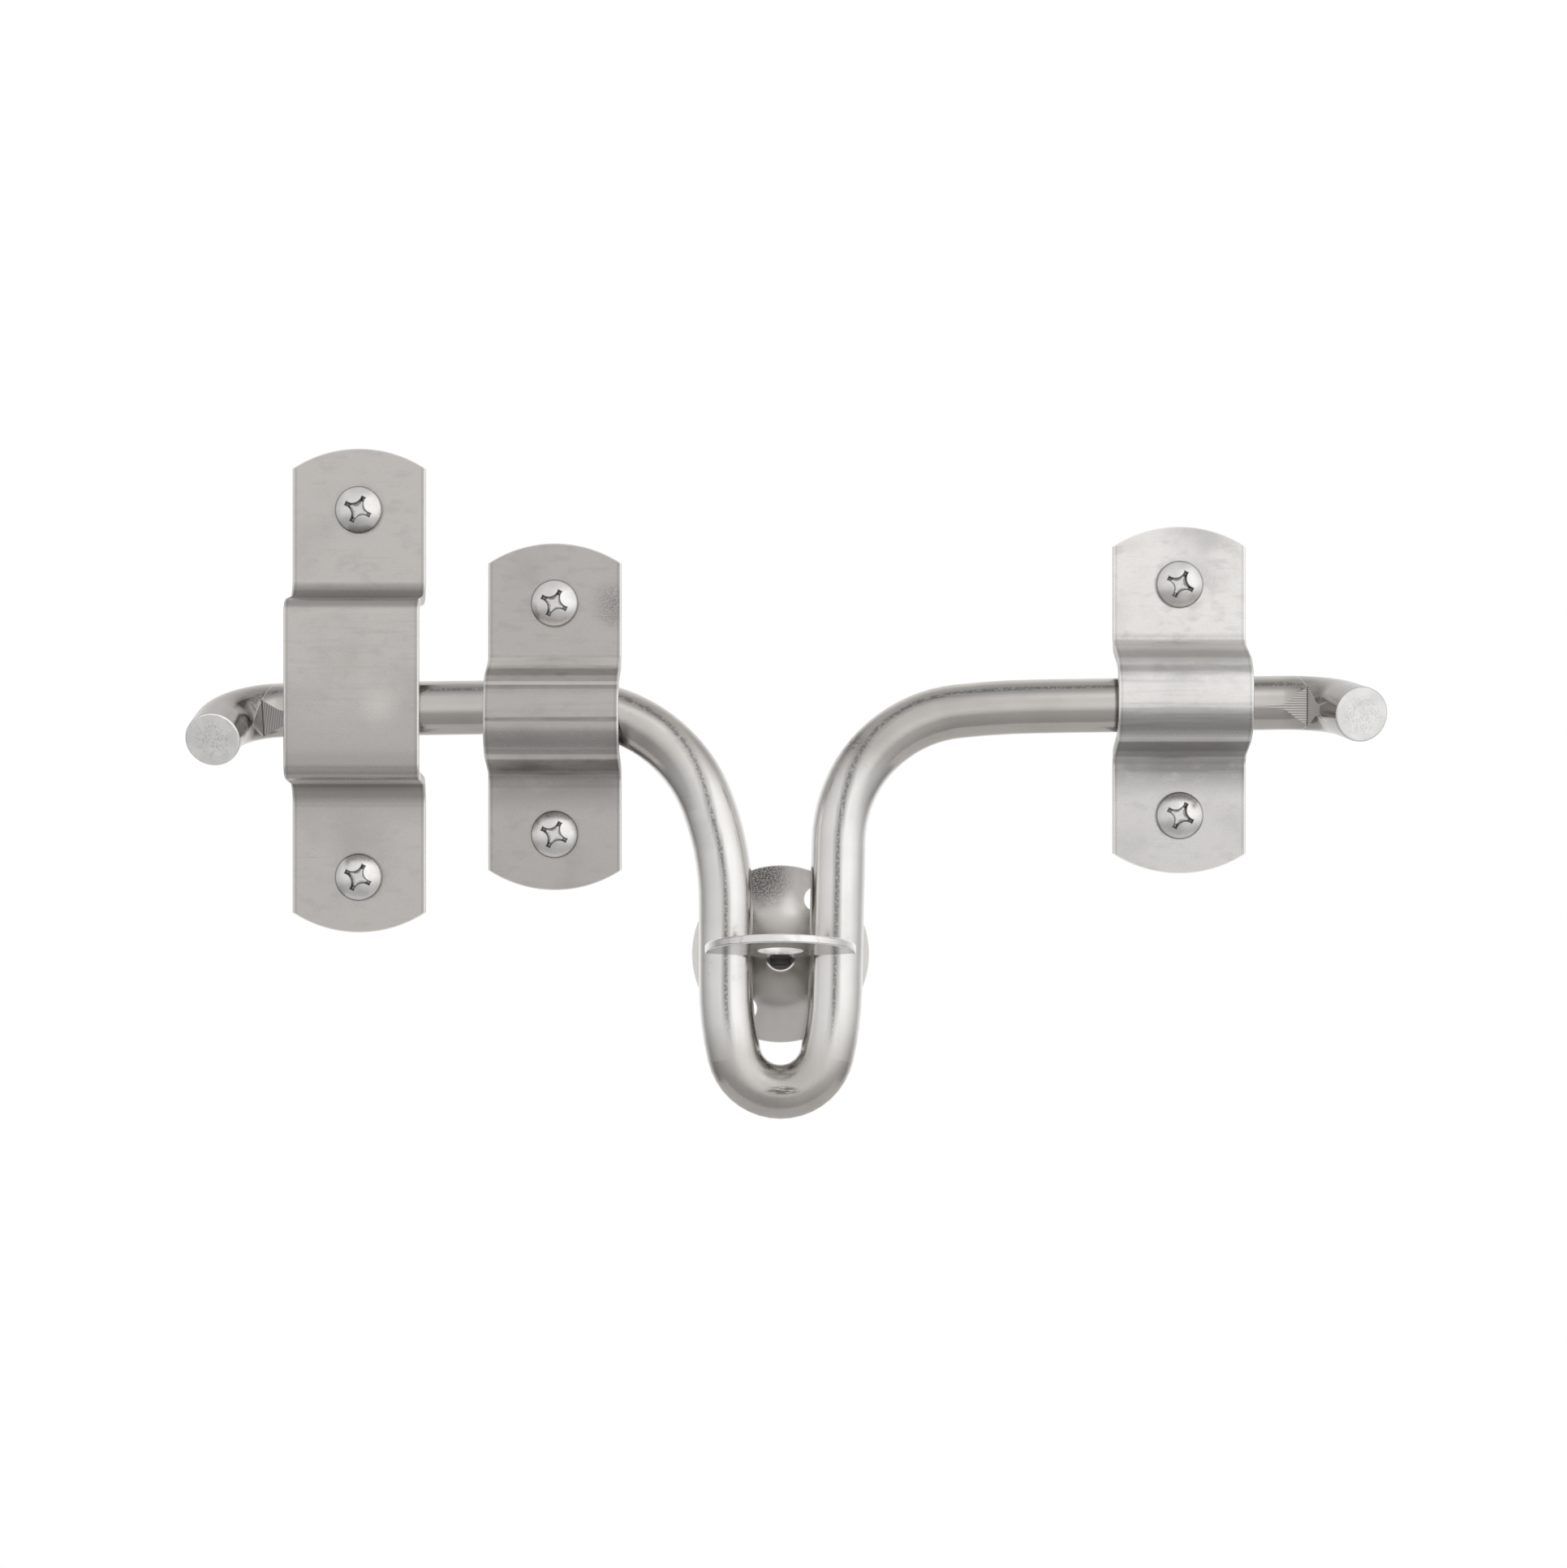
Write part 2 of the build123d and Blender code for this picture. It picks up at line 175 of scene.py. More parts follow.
def strap_look(
    name, centre_x, middle_z, bend_z, tones, warmth, dullness, foot_shade,
    shade_bands, highlight_bands, dark_line=0.0, stain=0.0, pale=0.0,
):
    look, tree, place = new_look(name)
    side, depth, height = axes(tree, place)
    across = away_from(tree, side, centre_x)
    lit_top_steel, shaded_low_steel, shaded_hump_steel, bend_shade_steel = [warm_grey(tone, warmth) for tone in tones]
    smudge = warm_grey(tones[1] * smudge_share, warmth)
    # Painted light and shade: lighter above than below, shaded low on the hump, with painted light and
    # shade of its own in the bends
    upper = ramp(tree, height, middle_z - fade_below, middle_z + fade_above)
    hump = ramp(tree, depth, hump_side_y, hump_front_y)
    hump_low_shade = ramp(tree, height, middle_z + hump_shade_above, middle_z - hump_shade_below)
    hump_low_shade = times(tree, hump, hump_low_shade)
    bends = math_node(tree, "SUBTRACT", ramp(tree, depth, foot_front_y, wall_front_y), hump)
    steel = blend(tree, upper, shaded_low_steel, lit_top_steel)
    steel = blend(tree, hump_low_shade, steel, shaded_hump_steel)
    steel = blend(tree, bends, steel, bend_shade_steel)
    # Painted soft shade on the foot under the lower bend, and a wavy dark line across the hump
    under = ramp(tree, height, bend_z - shade_end, bend_z - shade_full)
    under = times(tree, under, ramp(tree, height, bend_z + shade_over_bend, bend_z))
    smear = noise(tree, place, 70.0, 4.0, (0.6, 1.0, 14.0))
    wavy = plus(tree, height, times(tree, smear, dark_line_wave))
    dark_line_mask = ramp(tree, away_from(tree, wavy, middle_z - dark_line_below), 0.0007, 0.0002)
    dark_line_mask = times(tree, dark_line_mask, hump)
    # Painted shade: the foot under the lower bend is darkened towards the bend
    steel = blend(tree, times(tree, under, foot_shade), steel, soot_and_shade)
    steel = blend(tree, times(tree, dark_line_mask, dark_line), steel, soot_and_shade)
    # Broad smudges, mottling, long scratches and smears along the hump
    broad = noise(tree, place, 55.0, 4.0)
    mottle = noise(tree, place, 330.0, 4.0, (0.7, 1.0, 1.3))
    scratches = noise(tree, place, 55.0, 4.0, (1.0, 1.0, 26.0), (0.0, 0.5, 0.0))
    scratches = ramp(tree, scratches, 0.62, 0.72)
    smears = times(tree, ramp(tree, smear, 0.5, 0.66), hump)
    colour = blend(tree, ramp(tree, broad, 0.45, 0.8), steel, smudge)
    colour = blend(tree, ramp(tree, mottle, 0.5, 0.72, 0.0, 0.45), colour, smudge)
    colour = blend(tree, times(tree, scratches, 0.35), colour, smudge)
    colour = blend(tree, times(tree, smears, 0.3), colour, shaded_hump_steel)
    # Painted shade and painted highlight bands along the bends, dark ones and bright ones
    for bands, band_tone in ((shade_bands, shade_band_tone), (highlight_bands, highlight_band_tone)):
        for offset, half, soft, strength in bands:
            away = away_from(tree, height, middle_z + offset)
            band = ramp(tree, away, half + soft, half, 0.0, strength)
            colour = blend(tree, band, colour, warm_grey(band_tone, warmth))
    # Pale rubbed patch low on the right half of the hump
    patch_at = (centre_x + hump_patch_right, hump_patch_y, middle_z - hump_patch_below)
    patch = near_point(tree, place, patch_at, 0.0005, 0.0062)
    colour = blend(tree, times(tree, patch, pale), colour, warm_grey(patch_tone, warmth))
    # Dark stain by the right edge of the upper foot
    stain_at = (centre_x + stain_right, stain_y, middle_z + stain_above)
    specks = ramp(tree, noise(tree, place, 3400.0, 3.0), 0.3, 0.65)
    spot = times(tree, near_point(tree, place, stain_at, 0.001, 0.0075), specks)
    colour = blend(tree, times(tree, spot, stain), colour, soot_and_shade)
    # Painted highlight on the broken edges, with a thin line of painted shade along them
    edge_shade_line = ramp(tree, away_from(tree, across, edge_shade_line_at), 0.00035, 0.0001, 0.0, 0.14)
    edge_highlight = ramp(tree, across, edge_from, edge_to)
    edge_highlight = math_node(tree, "MAXIMUM", edge_mask(tree, edge_bevel), edge_highlight)
    colour = blend(tree, edge_shade_line, colour, soot_and_shade)
    colour = blend(tree, times(tree, edge_highlight, 0.75), colour, painted_edge_highlight)
    # Fine grain, blunter in the bends
    grain = noise(tree, place, 2600.0, 3.0)
    rough = ramp(tree, grain, 0.3, 0.7, dullness - 0.05, dullness + 0.07)
    rough = plus(tree, rough, times(tree, bends, 0.4))
    normal = bump(tree, grain, 0.00003, 0.35)
    normal = bump(tree, scratches, 0.00002, 0.25, normal)
    metal(tree, colour, rough, normal)
    return look


# The four tones paint light and shade: those of the lit top, the shaded foot below, the shaded low half of
# the hump and the bends.
# Each painted shade or highlight band has its height from the middle of the hump, half width, soft margin
# and strength.
keeper_look = strap_look(
    "keeper_strap_look",
    centre_x=keeper_x,
    middle_z=0.0623,
    bend_z=0.0375,
    tones=(0.57, 0.55, 0.46, 0.48),
    warmth=0.08,
    dullness=0.3,
    foot_shade=0.15,
    pale=0.22,
    shade_bands=(
        (0.0222, 0.0026, 0.0012, 0.28),
        (0.0215, 0.0004, 0.0005, 0.25),
        (-0.0168, 0.0004, 0.0032, 0.13),
        (-0.0226, 0.0002, 0.0003, 0.16),
        (-0.0267, 0.0005, 0.0008, 0.14),
    ),
    highlight_bands=(
        (-0.0189, 0.0003, 0.0004, 0.2),
        (-0.0214, 0.0004, 0.0004, 0.42),
    ),
)
left_guide_look = strap_look(
    "left_guide_strap_look",
    centre_x=left_guide_x,
    middle_z=0.0561,
    bend_z=0.0416,
    tones=(0.49, 0.47, 0.41, 0.69),
    warmth=0.08,
    dullness=0.27,
    foot_shade=0.35,
    dark_line=0.45,
    stain=0.5,
    shade_bands=(
        (0.0103, 0.0005, 0.0008, 0.42),
        (0.0068, 0.0003, 0.0005, 0.22),
        (-0.0083, 0.0003, 0.0004, 0.2),
        (-0.0115, 0.001, 0.0005, 0.3),
        (-0.0159, 0.0005, 0.0008, 0.16),
    ),
    highlight_bands=(
        (0.0129, 0.0004, 0.0011, 0.72),
        (0.0076, 0.0002, 0.0004, 0.5),
        (-0.0096, 0.0003, 0.0004, 0.5),
        (-0.0144, 0.0002, 0.0007, 0.14),
    ),
)
right_guide_look = strap_look(
    "right_guide_strap_look",
    centre_x=right_guide_x,
    middle_z=0.06005,
    bend_z=0.0455,
    tones=(0.8, 0.64, 0.39, 0.6),
    warmth=0.05,
    dullness=0.25,
    foot_shade=0.5,
    shade_bands=(
        (0.0145, 0.0006, 0.001, 0.14),
        (0.0105, 0.0005, 0.0006, 0.12),
        (0.0071, 0.0003, 0.0009, 0.25),
        (-0.0053, 0.0026, 0.0008, 0.22),
        (-0.0111, 0.0008, 0.0006, 0.34),
        (-0.016, 0.0005, 0.0012, 0.25),
    ),
    highlight_bands=(
        (0.0129, 0.0004, 0.0011, 0.45),
        (0.0014, 0.0015, 0.0015, 0.35),
        (-0.0094, 0.0003, 0.0004, 0.4),
        (-0.0138, 0.0003, 0.0011, 0.26),
    ),
)
dress("keeper_strap", keeper_look)
dress("left_guide_strap", left_guide_look)
dress("right_guide_strap", right_guide_look)


# Screws: stainless pan heads with a cross recess, darkened inside, on its step and along its edge as
# painted shade.
# A coarse wood thread is wound round each shank and runs out on its point.
screw_places = {
    "keeper": (keeper_x, 0.105, 0.0182),
    "left_guide": (left_guide_x, 0.0829, 0.0283),
    "right_guide": (right_guide_x, 0.08735, 0.03275),
}
head_back_y = -0.0022
head_front_y = -0.0026
head_line_from = 0.0051
head_line_to = 0.0054
recess_turn = math.radians(-26.3)
recess_arc_at = 0.0027
recess_arc_r = 0.00234
recess_tip = 0.00315
recess_step = 0.00075
thread_pitch = 0.0023
thread_height = 0.00032
thread_half = 0.00042
thread_start = 0.0008
thread_runout = 0.0006
thread_sunk = 0.97
thread_point_share = 0.35
turn_steps = 28
shank_radius = 0.00275
shank_end = 0.02075
point_end = 0.02975
head_light = [0.86, 0.845, 0.825, 1.0]
head_dull = [0.76, 0.745, 0.725, 1.0]
recess_shade_steel = [0.74, 0.725, 0.705, 1.0]
recess_step_shade = [0.12, 0.115, 0.11, 1.0]
recess_edge_shade = [0.09, 0.086, 0.082, 1.0]
head_foot_shade = [0.16, 0.155, 0.15, 1.0]


def screw_look(name, centre_x, top_z, bottom_z):
    look, tree, place = new_look(name)
    depth, height = axes(tree, place)[1:]
    on_head = ramp(tree, depth, head_back_y, head_front_y)
    broad = ramp(tree, noise(tree, place, 260.0, 3.0), 0.35, 0.7)
    colour = blend(tree, broad, head_light, head_dull)
    # Place from the axis of the nearer screw, turned to the arms of its recess
    upper = math_node(tree, "GREATER_THAN", height, (top_z + bottom_z) / 2)
    axis_z = plus(tree, times(tree, upper, top_z - bottom_z), bottom_z)
    axis = put(tree, "ShaderNodeCombineXYZ", {}, {"X": centre_x, "Z": axis_z}).outputs[0]
    from_axis = vector_node(tree, "SUBTRACT", place, axis)
    turned = mapped(tree, from_axis, turn=(0.0, recess_turn, 0.0))
    arm_x, _, arm_z = axes(tree, vector_node(tree, "ABSOLUTE", turned))
    # Depth inside the outline of the cross: four arcs between four blunt arms
    across = math_node(tree, "POWER", math_node(tree, "SUBTRACT", arm_x, recess_arc_at), 2.0)
    along = math_node(tree, "POWER", math_node(tree, "SUBTRACT", arm_z, recess_arc_at), 2.0)
    from_arc = math_node(tree, "SQRT", plus(tree, across, along))
    from_arc = math_node(tree, "SUBTRACT", from_arc, recess_arc_r)
    reach = math_node(tree, "MAXIMUM", arm_x, arm_z)
    deep = math_node(tree, "MINIMUM", from_arc, math_node(tree, "SUBTRACT", recess_tip, reach))
    inside = times(tree, ramp(tree, deep, 0.0, 0.0001), on_head)
    outline = ramp(tree, math_node(tree, "ABSOLUTE", deep), 0.00027, 0.00012, 0.0, 0.85)
    outline = times(tree, outline, on_head)
    step = ramp(tree, away_from(tree, reach, recess_tip - recess_step), 0.00018, 0.00008)
    step = times(tree, step, inside)
    # Painted shade inside the recess, on its step and along its outline
    colour = blend(tree, inside, colour, recess_shade_steel)
    colour = blend(tree, times(tree, step, 0.6), colour, recess_step_shade)
    colour = blend(tree, outline, colour, recess_edge_shade)
    # Painted shade as a thin dark line round the foot of the head, where it meets the strap
    flat = vector_node(tree, "MULTIPLY", from_axis, (1.0, 0.0, 1.0))
    radius = vector_node(tree, "LENGTH", flat)
    head_shade_line = ramp(tree, radius, head_line_from, head_line_to, 0.0, 0.6)
    colour = blend(tree, head_shade_line, colour, head_foot_shade)
    grain = noise(tree, place, 1800.0, 3.0)
    rough = ramp(tree, grain, 0.3, 0.7, 0.24, 0.34)
    metal(tree, colour, rough, bump(tree, grain, 0.00002, 0.3))
    return look


def wind_thread(points, faces, centre_x, centre_z):
    first = len(points)
    steps = int((point_end - thread_start) / thread_pitch * turn_steps)
    for step in range(steps + 1):
        angle = step / turn_steps * math.tau
        along = thread_start + (point_end - thread_runout - thread_start) * step / steps
        taper = min(1.0, (point_end - along) / (point_end - shank_end))
        fade = min(1.0, step / (turn_steps / 2))
        inner = shank_radius * taper * thread_sunk
        share = thread_point_share + (1.0 - thread_point_share) * taper
        crest = shank_radius * taper + thread_height * fade * share
        for radius, shift in ((inner, -thread_half), (crest, 0.0), (inner, thread_half)):
            x = centre_x + radius * math.cos(angle)
            z = centre_z + radius * math.sin(angle)
            points.append((x, along + shift, z))
    for step in range(steps):
        at = first + step * 3
        for near, far in ((0, 1), (1, 2), (2, 0)):
            faces.append((at + near, at + far, at + far + 3, at + near + 3))
    last = first + steps * 3
    faces.append((first, first + 1, first + 2))
    faces.append((last + 2, last + 1, last))


for strap, (centre_x, top_z, bottom_z) in screw_places.items():
    look = screw_look(strap + "_screw_look", centre_x, top_z, bottom_z)
    dress(strap + "_screws", look)
    points = []
    faces = []
    wind_thread(points, faces, centre_x, top_z)
    wind_thread(points, faces, centre_x, bottom_z)
    mesh = bpy.data.meshes.new(strap + "_screw_threads")
    mesh.from_pydata(points, [], faces)
    mesh.materials.append(look)
    threads = bpy.data.objects.new(strap + "_screw_threads", mesh)
    bpy.context.collection.objects.link(threads)
    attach(threads, "fixed_parts")


# Bolt rod: drawn and polished round bar, bent into a loop, with long draw lines.
# Its sawn ends are pale and pitted, and the notches pressed inside the end bends carry fine tool lines.
# Each end has the middle of its sawn face, the notch's valley and the ways that the notch's flats face.
left_end = {
    "tip": (-0.13028, -0.02805, 0.05035),
    "tip_faces": (-0.0652, -0.9362, -0.3453),
    "valley": (-0.120673, -0.01449, 0.055462),
    "run_flat": (-0.0391, -0.93761, -0.34549),
    "root_flat": (0.9288, -0.35157, -0.11719),
    "tool_turn": 1.4,
    "pitting": 0.5,
}
right_end = {
    "tip": (0.13325, -0.02902, 0.05613),
    "tip_faces": (0.2443, -0.957, -0.1565),
    "valley": (0.122715, -0.015145, 0.058298),
    "run_flat": (0.0199, -0.98614, -0.16473),
    "root_flat": (-0.94462, -0.3211, -0.06775),
    "tool_turn": 0.0,
    "pitting": 0.2,
}
right_guide_side = 0.0789
left_guide_side = -0.0373
legs_from_z = 0.05
legs_to_z = 0.038
foot_z = -0.029
foot_top_z = -0.014
end_bend_from = 0.116
end_bend_to = 0.124
dull_patch_at = (0.0168, -0.0125, 0.05)
scuff_at = (0.0005, -0.0153, -0.0312)
scuff_wide = 4.0
shaded_run_light = [0.565, 0.538, 0.51, 1.0]
shaded_run_dull = [0.505, 0.478, 0.45, 1.0]
lit_loop_light = [0.82, 0.805, 0.785, 1.0]
lit_loop_dull = [0.75, 0.735, 0.715, 1.0]
dent_grey = [0.45, 0.43, 0.41, 1.0]
end_bend_grey = [0.3, 0.29, 0.28, 1.0]
line_shadow = [0.36, 0.35, 0.335, 1.0]
line_dark = [0.16, 0.155, 0.15, 1.0]
grime_and_shade = [0.06, 0.057, 0.054, 1.0]
scuff_dark = [0.14, 0.135, 0.13, 1.0]
sawn_light = [0.97, 0.96, 0.945, 1.0]
sawn_dull = [0.89, 0.88, 0.865, 1.0]
pit_grey = [0.55, 0.54, 0.525, 1.0]
flat_plain = [0.86, 0.84, 0.82, 1.0]
tool_dark = [0.4, 0.385, 0.37, 1.0]
tool_light = [0.66, 0.64, 0.62, 1.0]
crease_shade = [0.12, 0.115, 0.11, 1.0]


def plane_distance(tree, place, point, direction):
    return vector_node(tree, "DOT_PRODUCT", vector_node(tree, "SUBTRACT", place, point), direction)


def mix_value(tree, factor, first, second):
    inputs = {0: factor, 2: first, 3: second}
    return put(tree, "ShaderNodeMix", {"data_type": "FLOAT"}, inputs).outputs[0]


look, tree, place = new_look("bolt_rod_look")
side, depth, height = axes(tree, place)
legs = ramp(tree, height, legs_from_z, legs_to_z)
# Painted light: the upright legs take a lighter copy of the steel than the runs and the foot of the loop
lit_legs = times(tree, legs, ramp(tree, height, foot_z, foot_top_z))
run_lines = noise(tree, place, 60.0, 5.0, (0.35, 20.0, 20.0))
leg_lines = noise(tree, place, 60.0, 5.0, (20.0, 20.0, 0.35))
lines = mix_value(tree, legs, run_lines, leg_lines)
grain = noise(tree, place, 1500.0, 3.0)
broad = ramp(tree, noise(tree, place, 90.0, 4.0), 0.35, 0.75)
dents = ramp(tree, noise(tree, place, 330.0, 2.0), 0.66, 0.74)
shaded_run_steel = blend(tree, broad, shaded_run_light, shaded_run_dull)
lit_loop_steel = blend(tree, broad, lit_loop_light, lit_loop_dull)
colour = blend(tree, lit_legs, shaded_run_steel, lit_loop_steel)
colour = blend(tree, times(tree, dents, 0.15), colour, dent_grey)
# Darker where the ends are bent
bent = ramp(tree, math_node(tree, "ABSOLUTE", side), end_bend_from, end_bend_to)
colour = blend(tree, times(tree, bent, 0.55), colour, end_bend_grey)
# Dark streak along the rod, placed by the way the surface faces, on the side that is outside in the
# shoulder bends, with a speckled darker core
face_x, face_y, face_z = axes(tree, surface_normal(tree))
inward = times(tree, math_node(tree, "SIGN", side), face_x)
outer_side = ramp(tree, math_node(tree, "SUBTRACT", face_z, inward), -0.02, 0.02)
front = ramp(tree, face_y, 0.05, -0.05)
lean = math_node(tree, "SUBTRACT", 1.0, math_node(tree, "POWER", face_y, 2.0))
lean = math_node(tree, "SQRT", lean)
lean = times(tree, lean, ramp(tree, outer_side, 0.0, 1.0, -1.0, 1.0))
wander = times(tree, math_node(tree, "SUBTRACT", lines, 0.5), 0.16)
line_lean = ramp(tree, height, 0.03, 0.06, 0.03, 0.67)
off_line = away_from(tree, plus(tree, lean, wander), line_lean)
streak_reach = times(tree, front, ramp(tree, height, -0.024, -0.008))
core = times(tree, ramp(tree, off_line, 0.09, 0.03), ramp(tree, grain, 0.32, 0.58))
core = times(tree, core, streak_reach)
shadow = times(tree, ramp(tree, off_line, 0.24, 0.06), streak_reach)
colour = blend(tree, times(tree, shadow, 0.72), colour, line_shadow)
colour = blend(tree, times(tree, core, 0.7), colour, line_dark)
# Painted shade on the rod where it passes behind the edges of the two guides, and a dull patch in the right
# shoulder
right_guide_shadow = ramp(tree, away_from(tree, side, right_guide_side), 0.0013, 0.0005)
right_guide_shadow = times(tree, right_guide_shadow, ramp(tree, depth, -0.006, -0.009))
left_guide_shadow = ramp(tree, away_from(tree, side, left_guide_side), 0.0028, 0.0008)
left_guide_shadow = times(tree, left_guide_shadow, ramp(tree, height, 0.056, 0.05))
dull_patch = near_point(tree, place, dull_patch_at, 0.001, 0.0045)
dull_patch = times(tree, dull_patch, ramp(tree, lines, 0.35, 0.6))
colour = blend(tree, times(tree, right_guide_shadow, 0.75), colour, grime_and_shade)
colour = blend(tree, times(tree, left_guide_shadow, 0.8), colour, grime_and_shade)
colour = blend(tree, times(tree, dull_patch, 0.45), colour, grime_and_shade)
# Scuff at the foot of the loop, wider than it is high
stretched_up = mapped(tree, place, (1.0, 1.0, scuff_wide))
stretched_at = (scuff_at[0], scuff_at[1], scuff_at[2] * scuff_wide)
scuff = near_point(tree, stretched_up, stretched_at, 0.002, 0.005)
scratches = noise(tree, place, 500.0, 4.0, (1.0, 1.0, 7.0))
scuff = times(tree, scuff, ramp(tree, scratches, 0.34, 0.54))
colour = blend(tree, times(tree, scuff, 0.9), colour, scuff_dark)
# Polish, smoother but a little duller at the foot of the loop
rough = ramp(tree, lines, 0.3, 0.7, 0.14, 0.22)
rough = plus(tree, rough, ramp(tree, height, -0.008, -0.02, 0.0, 0.07))
normal = bump(tree, lines, 0.00006, ramp(tree, height, -0.018, -0.006, 0.02, 0.22))
normal = bump(tree, grain, 0.00002, ramp(tree, height, -0.014, 0.006, 0.03, 0.22), normal)
normal = bump(tree, dents, 0.00004, 0.15, normal)
for end in (left_end, right_end):
    # Sawn end, pale with pits in the middle
    sawn = ramp(tree, plane_distance(tree, place, end["tip"], end["tip_faces"]), -0.00034, -0.00022)
    sawn = times(tree, sawn, near_point(tree, place, end["tip"], 0.0075, 0.0085))
    pits = noise(tree, place, 3200.0, 4.0, (1.0, 1.0, 0.3), (0.0, 0.25, 0.0))
    pits = times(tree, ramp(tree, pits, 0.5, 0.64), near_point(tree, place, end["tip"], 0.003, 0.0058))
    cloud = ramp(tree, noise(tree, place, 300.0, 3.0), 0.4, 0.6)
    pale = blend(tree, cloud, sawn_light, sawn_dull)
    pale = blend(tree, times(tree, pits, end["pitting"]), pale, pit_grey)
    colour = blend(tree, sawn, colour, pale)
    rough = mix_value(tree, sawn, rough, 0.55)
    normal = bump(tree, times(tree, pits, sawn), 0.00008, 0.5, normal)
    # Pressed notch, plain on the side of the bend and lined along the run, with painted shade in its crease
    close = near_point(tree, place, end["valley"], 0.009, 0.011)
    moved = vector_node(tree, "SUBTRACT", place, end["valley"])
    turned = mapped(tree, moved, turn=(0.0, end["tool_turn"], 0.0))
    wave_settings = {"wave_type": "BANDS", "bands_direction": "Z"}
    wave_inputs = {"Vector": turned, "Scale": 570.0, "Distortion": 3.0, "Detail": 1.5, "Detail Scale": 0.25}
    tool_lines = put(tree, "ShaderNodeTexWave", wave_settings, wave_inputs).outputs["Fac"]
    flat_lined = blend(tree, tool_lines, tool_dark, tool_light)
    crease = 0.0
    for flat_faces, flat_colour in ((end["root_flat"], flat_plain), (end["run_flat"], flat_lined)):
        away = math_node(tree, "ABSOLUTE", plane_distance(tree, place, end["valley"], flat_faces))
        crease = math_node(tree, "MAXIMUM", crease, away)
        on_flat = times(tree, ramp(tree, away, 0.00006, 0.00003), close)
        colour = blend(tree, on_flat, colour, flat_colour)
        rough = mix_value(tree, on_flat, rough, 0.3)
    crease = times(tree, ramp(tree, crease, 0.00026, 0.0001), close)
    colour = blend(tree, times(tree, crease, 0.8), colour, crease_shade)
    normal = bump(tree, times(tree, tool_lines, on_flat), 0.00005, 0.5, normal)
metal(tree, colour, rough, normal)
dress("bolt_rod", look)


# Staple: round stainless plate, pressed and drawn up into a flared collar with a thin lip.
# The plate is satin with a dark pitted patch above the flare.
lip_y = -0.0111
lip_front_y = -0.01135
lip_outer_r = 0.0041
lip_full_r = 0.0038
mouth_r = 0.0037
mouth_full_r = 0.0034
collar_foot_r = 0.0125
collar_full_r = 0.0075
rim_bevel = 0.0005
flare_highlight_at = (0.002, -0.003, 0.0105)
flare_highlight_narrow = 2.0
pitted_at = (-0.005, -0.002, 0.0185)
plate_light = [0.52, 0.5, 0.48, 1.0]
plate_dull = [0.41, 0.395, 0.38, 1.0]
painted_flare_highlight = [0.8, 0.78, 0.755, 1.0]
pitted_grey = [0.22, 0.21, 0.2, 1.0]
speck_dark = [0.1, 0.096, 0.092, 1.0]
low_shade_grey = [0.34, 0.33, 0.315, 1.0]
side_painted_light = [0.7, 0.685, 0.665, 1.0]
collar_painted_light = [0.8, 0.775, 0.745, 1.0]
lip_top_shade = [0.16, 0.155, 0.15, 1.0]
lip_low_highlight = [0.95, 0.94, 0.92, 1.0]
mouth_shade_grey = [0.42, 0.405, 0.39, 1.0]
rim_highlight = [0.88, 0.87, 0.85, 1.0]
look, tree, place = new_look("staple_look")
side, depth, height = axes(tree, place)
around = put(tree, "ShaderNodeCombineXYZ", {}, {"X": side, "Z": height}).outputs[0]
radius = vector_node(tree, "LENGTH", around)
broad = ramp(tree, noise(tree, place, 120.0, 4.0), 0.35, 0.75)
colour = blend(tree, broad, plate_light, plate_dull)
# Painted highlight as a pale upright streak on the flare, and the pitted patch beside it
stretched_wide = mapped(tree, place, (flare_highlight_narrow, 1.0, 1.0))
stretched_at = (flare_highlight_at[0] * flare_highlight_narrow, flare_highlight_at[1], flare_highlight_at[2])
flare_highlight = near_point(tree, stretched_wide, stretched_at, 0.001, 0.006)
patch = near_point(tree, place, pitted_at, 0.002, 0.0095)
specks = ramp(tree, noise(tree, place, 3000.0, 5.0), 0.4, 0.58)
colour = blend(tree, times(tree, flare_highlight, 0.7), colour, painted_flare_highlight)
colour = blend(tree, times(tree, patch, 0.45), colour, pitted_grey)
colour = blend(tree, times(tree, patch, specks), colour, speck_dark)
# Painted shade lower down, and painted light at the sides beyond the legs of the loop and on the collar
low = ramp(tree, height, -0.006, -0.013)
beyond_legs = ramp(tree, math_node(tree, "ABSOLUTE", side), 0.0155, 0.018)
collar = ramp(tree, radius, collar_foot_r, collar_full_r)
colour = blend(tree, times(tree, low, 0.5), colour, low_shade_grey)
colour = blend(tree, beyond_legs, colour, side_painted_light)
colour = blend(tree, times(tree, collar, 0.85), colour, collar_painted_light)
# Lip of the mouth, with painted shade above and a painted highlight below, and painted shade inside the
# mouth
lip = ramp(tree, radius, lip_outer_r, lip_full_r)
lip = times(tree, lip, ramp(tree, depth, lip_y, lip_front_y))
lip_low = ramp(tree, height, -0.0012, -0.0022)
lip_light_and_shade = blend(tree, lip_low, lip_top_shade, lip_low_highlight)
mouth = ramp(tree, radius, mouth_r, mouth_full_r)
mouth = times(tree, mouth, ramp(tree, depth, lip_front_y, lip_y))
colour = blend(tree, lip, colour, lip_light_and_shade)
colour = blend(tree, mouth, colour, mouth_shade_grey)
# Painted highlight on the edges of the rim and the holes
edge_highlight = times(tree, edge_mask(tree, rim_bevel), ramp(tree, radius, 0.005, 0.007, 0.0, 0.6))
colour = blend(tree, edge_highlight, colour, rim_highlight)
grain = noise(tree, place, 3200.0, 2.0)
rough = ramp(tree, grain, 0.3, 0.7, 0.14, 0.22)
rough = plus(tree, rough, times(tree, patch, 0.2))
rough = plus(tree, rough, times(tree, collar, 0.32))
metal(tree, colour, rough, bump(tree, grain, 0.000012, 0.25))
dress("staple_base", look)


